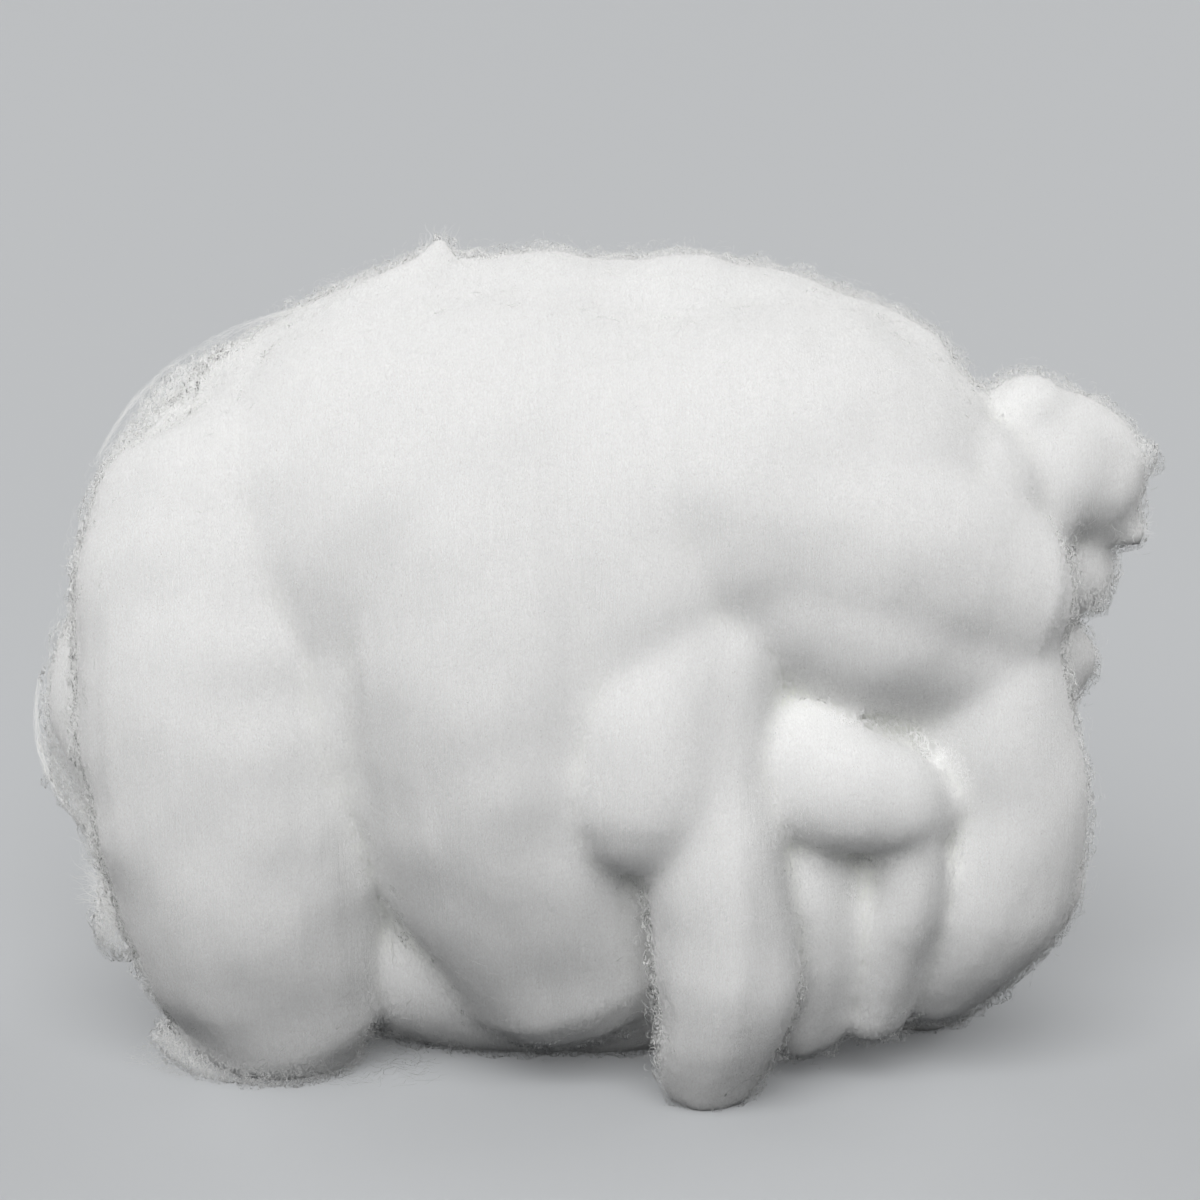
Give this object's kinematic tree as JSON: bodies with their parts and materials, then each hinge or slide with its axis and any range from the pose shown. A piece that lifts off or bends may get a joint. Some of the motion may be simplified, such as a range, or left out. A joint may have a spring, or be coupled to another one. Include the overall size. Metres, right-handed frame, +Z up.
{
  "type": "cotton wool",
  "caption": "Loose mass of white cotton wool, folded and gathered into soft rolls, resting on a flat foot.",
  "frame": {"origin": "on the flat foot, in the middle of the mass's length and depth", "axes": "+X along the length, to the right as seen from the front; +Y to the back; +Z up"},
  "size_m": [0.2948, 0.176, 0.2176],
  "materials": {
    "cotton": "bleached carded cotton fibre, fully matt, with a soft nap"
  },
  "bodies": {
    "root": {"cotton_wool": "cotton"}
  },
  "joints": []
}
